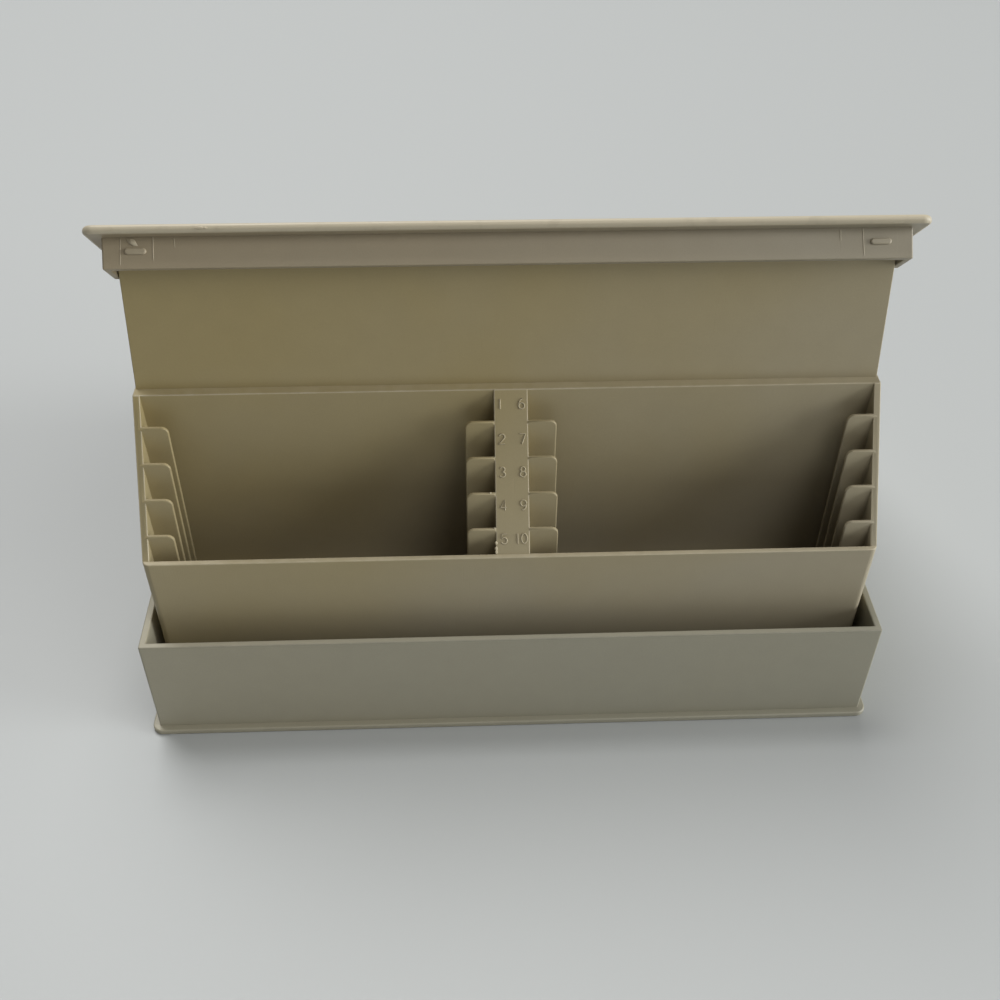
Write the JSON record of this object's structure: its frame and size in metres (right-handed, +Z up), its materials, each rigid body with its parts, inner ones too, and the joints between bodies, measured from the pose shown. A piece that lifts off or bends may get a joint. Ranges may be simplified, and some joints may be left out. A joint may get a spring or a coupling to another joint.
{
  "type": "disk storage case",
  "caption": "Desktop case for 3.5 inch disks: an open tub, a hinged lid, and a stepped, slotted tray that hangs from the lid, rises with it and props it open.",
  "frame": {"origin": "middle of the surface that the case stands on, under the centre of the tub", "axes": "+X to the right along the hinge and the tray's pivot, +Y from the front to the hinge at the rear, +Z up"},
  "size_m": [0.2076, 0.1546, 0.1396],
  "materials": {
    "shell": "fine matt moulded",
    "tray": "satin moulded"
  },
  "bodies": {
    "base": {"base": "shell"},
    "lid": {"lid": "shell"},
    "tray": {"tray": "tray"}
  },
  "joints": [
    {"name": "lid_hinge", "type": "hinge", "parent": "base", "child": "lid", "pos_m": [0, 0.073, 0.0347], "axis": [-1, 0, 0], "range_deg": [0, 48]},
    {"name": "tray_pivot", "type": "hinge", "parent": "lid", "child": "tray", "pos_m": [0, -0.03138, 0.1294], "axis": [1, 0, 0], "range_deg": [0, 48]}
  ],
  "couplings": [
    {"joint": "tray_pivot", "follows": "lid_hinge", "ratio": 1}
  ]
}
